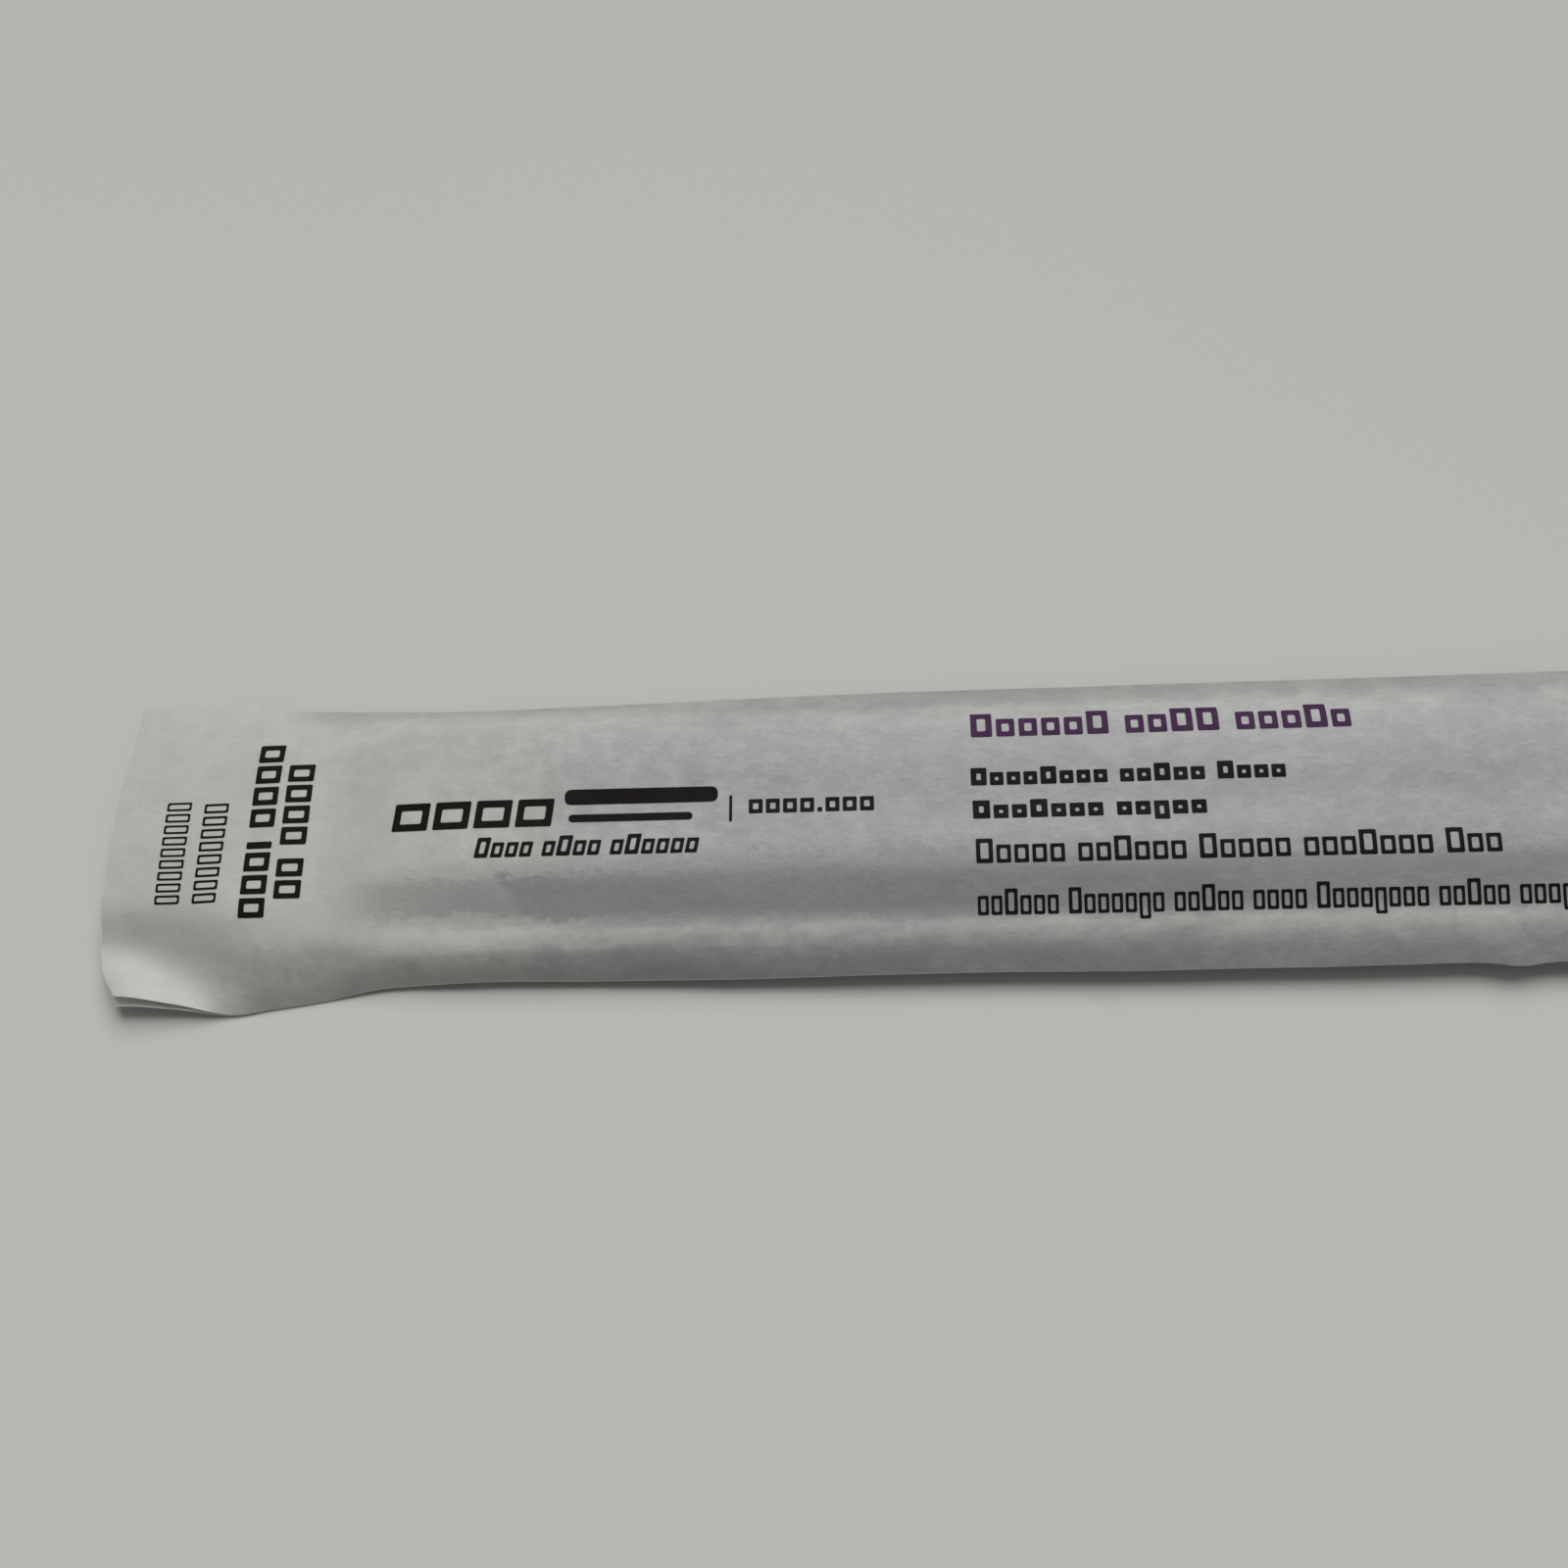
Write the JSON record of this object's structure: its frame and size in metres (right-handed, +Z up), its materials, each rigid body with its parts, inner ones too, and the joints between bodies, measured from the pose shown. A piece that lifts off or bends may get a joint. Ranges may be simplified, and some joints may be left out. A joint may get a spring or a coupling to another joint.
{
  "type": "sealed peel pouch with cell scraper",
  "caption": "Long narrow heat-sealed peel pouch of paper and film, lying flat and filled by a straight-handled cell scraper, with two parted leaves at its peel end.",
  "frame": {"origin": "centre of the pouch's footprint, on the surface it lies on", "axes": "+X along the pouch from its peel tab to its far end, +Y across it to the far side, +Z up through the paper web"},
  "size_m": [0.33, 0.05, 0.009],
  "materials": {
    "paper_web": "smooth medical paper with a slight sheen, mottled where it lies on what is under it"
  },
  "bodies": {
    "root": {"sealed_pouch": "paper_web"}
  },
  "joints": []
}
